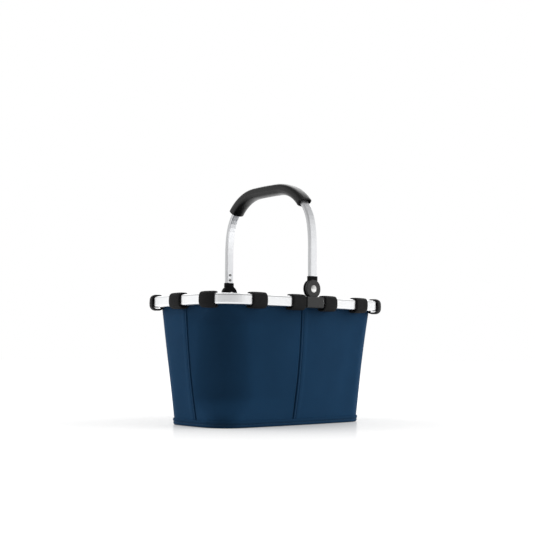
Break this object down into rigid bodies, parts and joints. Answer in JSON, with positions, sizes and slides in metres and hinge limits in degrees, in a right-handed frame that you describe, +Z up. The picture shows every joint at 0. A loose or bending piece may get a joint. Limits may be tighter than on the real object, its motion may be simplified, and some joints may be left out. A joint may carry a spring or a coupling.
{
  "type": "carry basket",
  "caption": "Small fabric carry basket hung by webbing loops from an oval aluminium rim, with a folding flat-tube handle and a soft grip.",
  "frame": {"origin": "centre of the basket's footprint on the surface it stands on", "axes": "+X along the basket's length, -Y towards its front, +Z up; the handle folds about an axis along Y"},
  "size_m": [0.3398, 0.202, 0.3474],
  "materials": {
    "satin_aluminium": "satin anodised",
    "hinge_plastic": "fine matte moulded",
    "rivet_steel": "bright",
    "grip_foam": "soft matte foam",
    "navy_fabric": "plain woven polyester",
    "navy_hem": "plain woven polyester, doubled",
    "black_webbing": "woven webbing",
    "board_plastic": "matte sheet"
  },
  "bodies": {
    "basket": {"rim_left_half": "satin_aluminium", "rim_right_half": "satin_aluminium", "hinge_bracket_front": "hinge_plastic", "hinge_bracket_rear": "hinge_plastic", "pivot_rivet_front": "rivet_steel", "pivot_rivet_rear": "rivet_steel", "pivot_washer_front": "hinge_plastic", "pivot_washer_rear": "hinge_plastic", "bag_panel_front_left": "navy_fabric", "bag_panel_front_right": "navy_fabric", "bag_panel_rear_left": "navy_fabric", "bag_panel_rear_right": "navy_fabric", "bottom_panel": "navy_fabric", "base_hem": "navy_hem", "top_hem": "navy_hem", "seam_tape_front": "navy_hem", "seam_tape_rear": "navy_hem", "seam_tape_left": "navy_hem", "seam_tape_right": "navy_hem", "base_board": "board_plastic", "strap_front_1": "black_webbing", "strap_front_2": "black_webbing", "strap_front_3": "black_webbing", "strap_front_4": "black_webbing", "strap_rear_1": "black_webbing", "strap_rear_2": "black_webbing", "strap_rear_3": "black_webbing", "strap_rear_4": "black_webbing", "strap_left_1": "black_webbing", "strap_left_2": "black_webbing", "strap_left_3": "black_webbing", "strap_right_1": "black_webbing", "strap_right_2": "black_webbing", "strap_right_3": "black_webbing"},
    "handle": {"handle_tube": "satin_aluminium", "handle_grip": "grip_foam", "handle_knuckle_front": "hinge_plastic", "handle_knuckle_rear": "hinge_plastic", "leg_rivets_front": "rivet_steel", "leg_rivets_rear": "rivet_steel"}
  },
  "joints": [
    {"name": "handle_fold", "type": "hinge", "parent": "basket", "child": "handle", "pos_m": [0, 0, 0.19], "axis": [0, 1, 0], "range_deg": [-88, 88]}
  ]
}
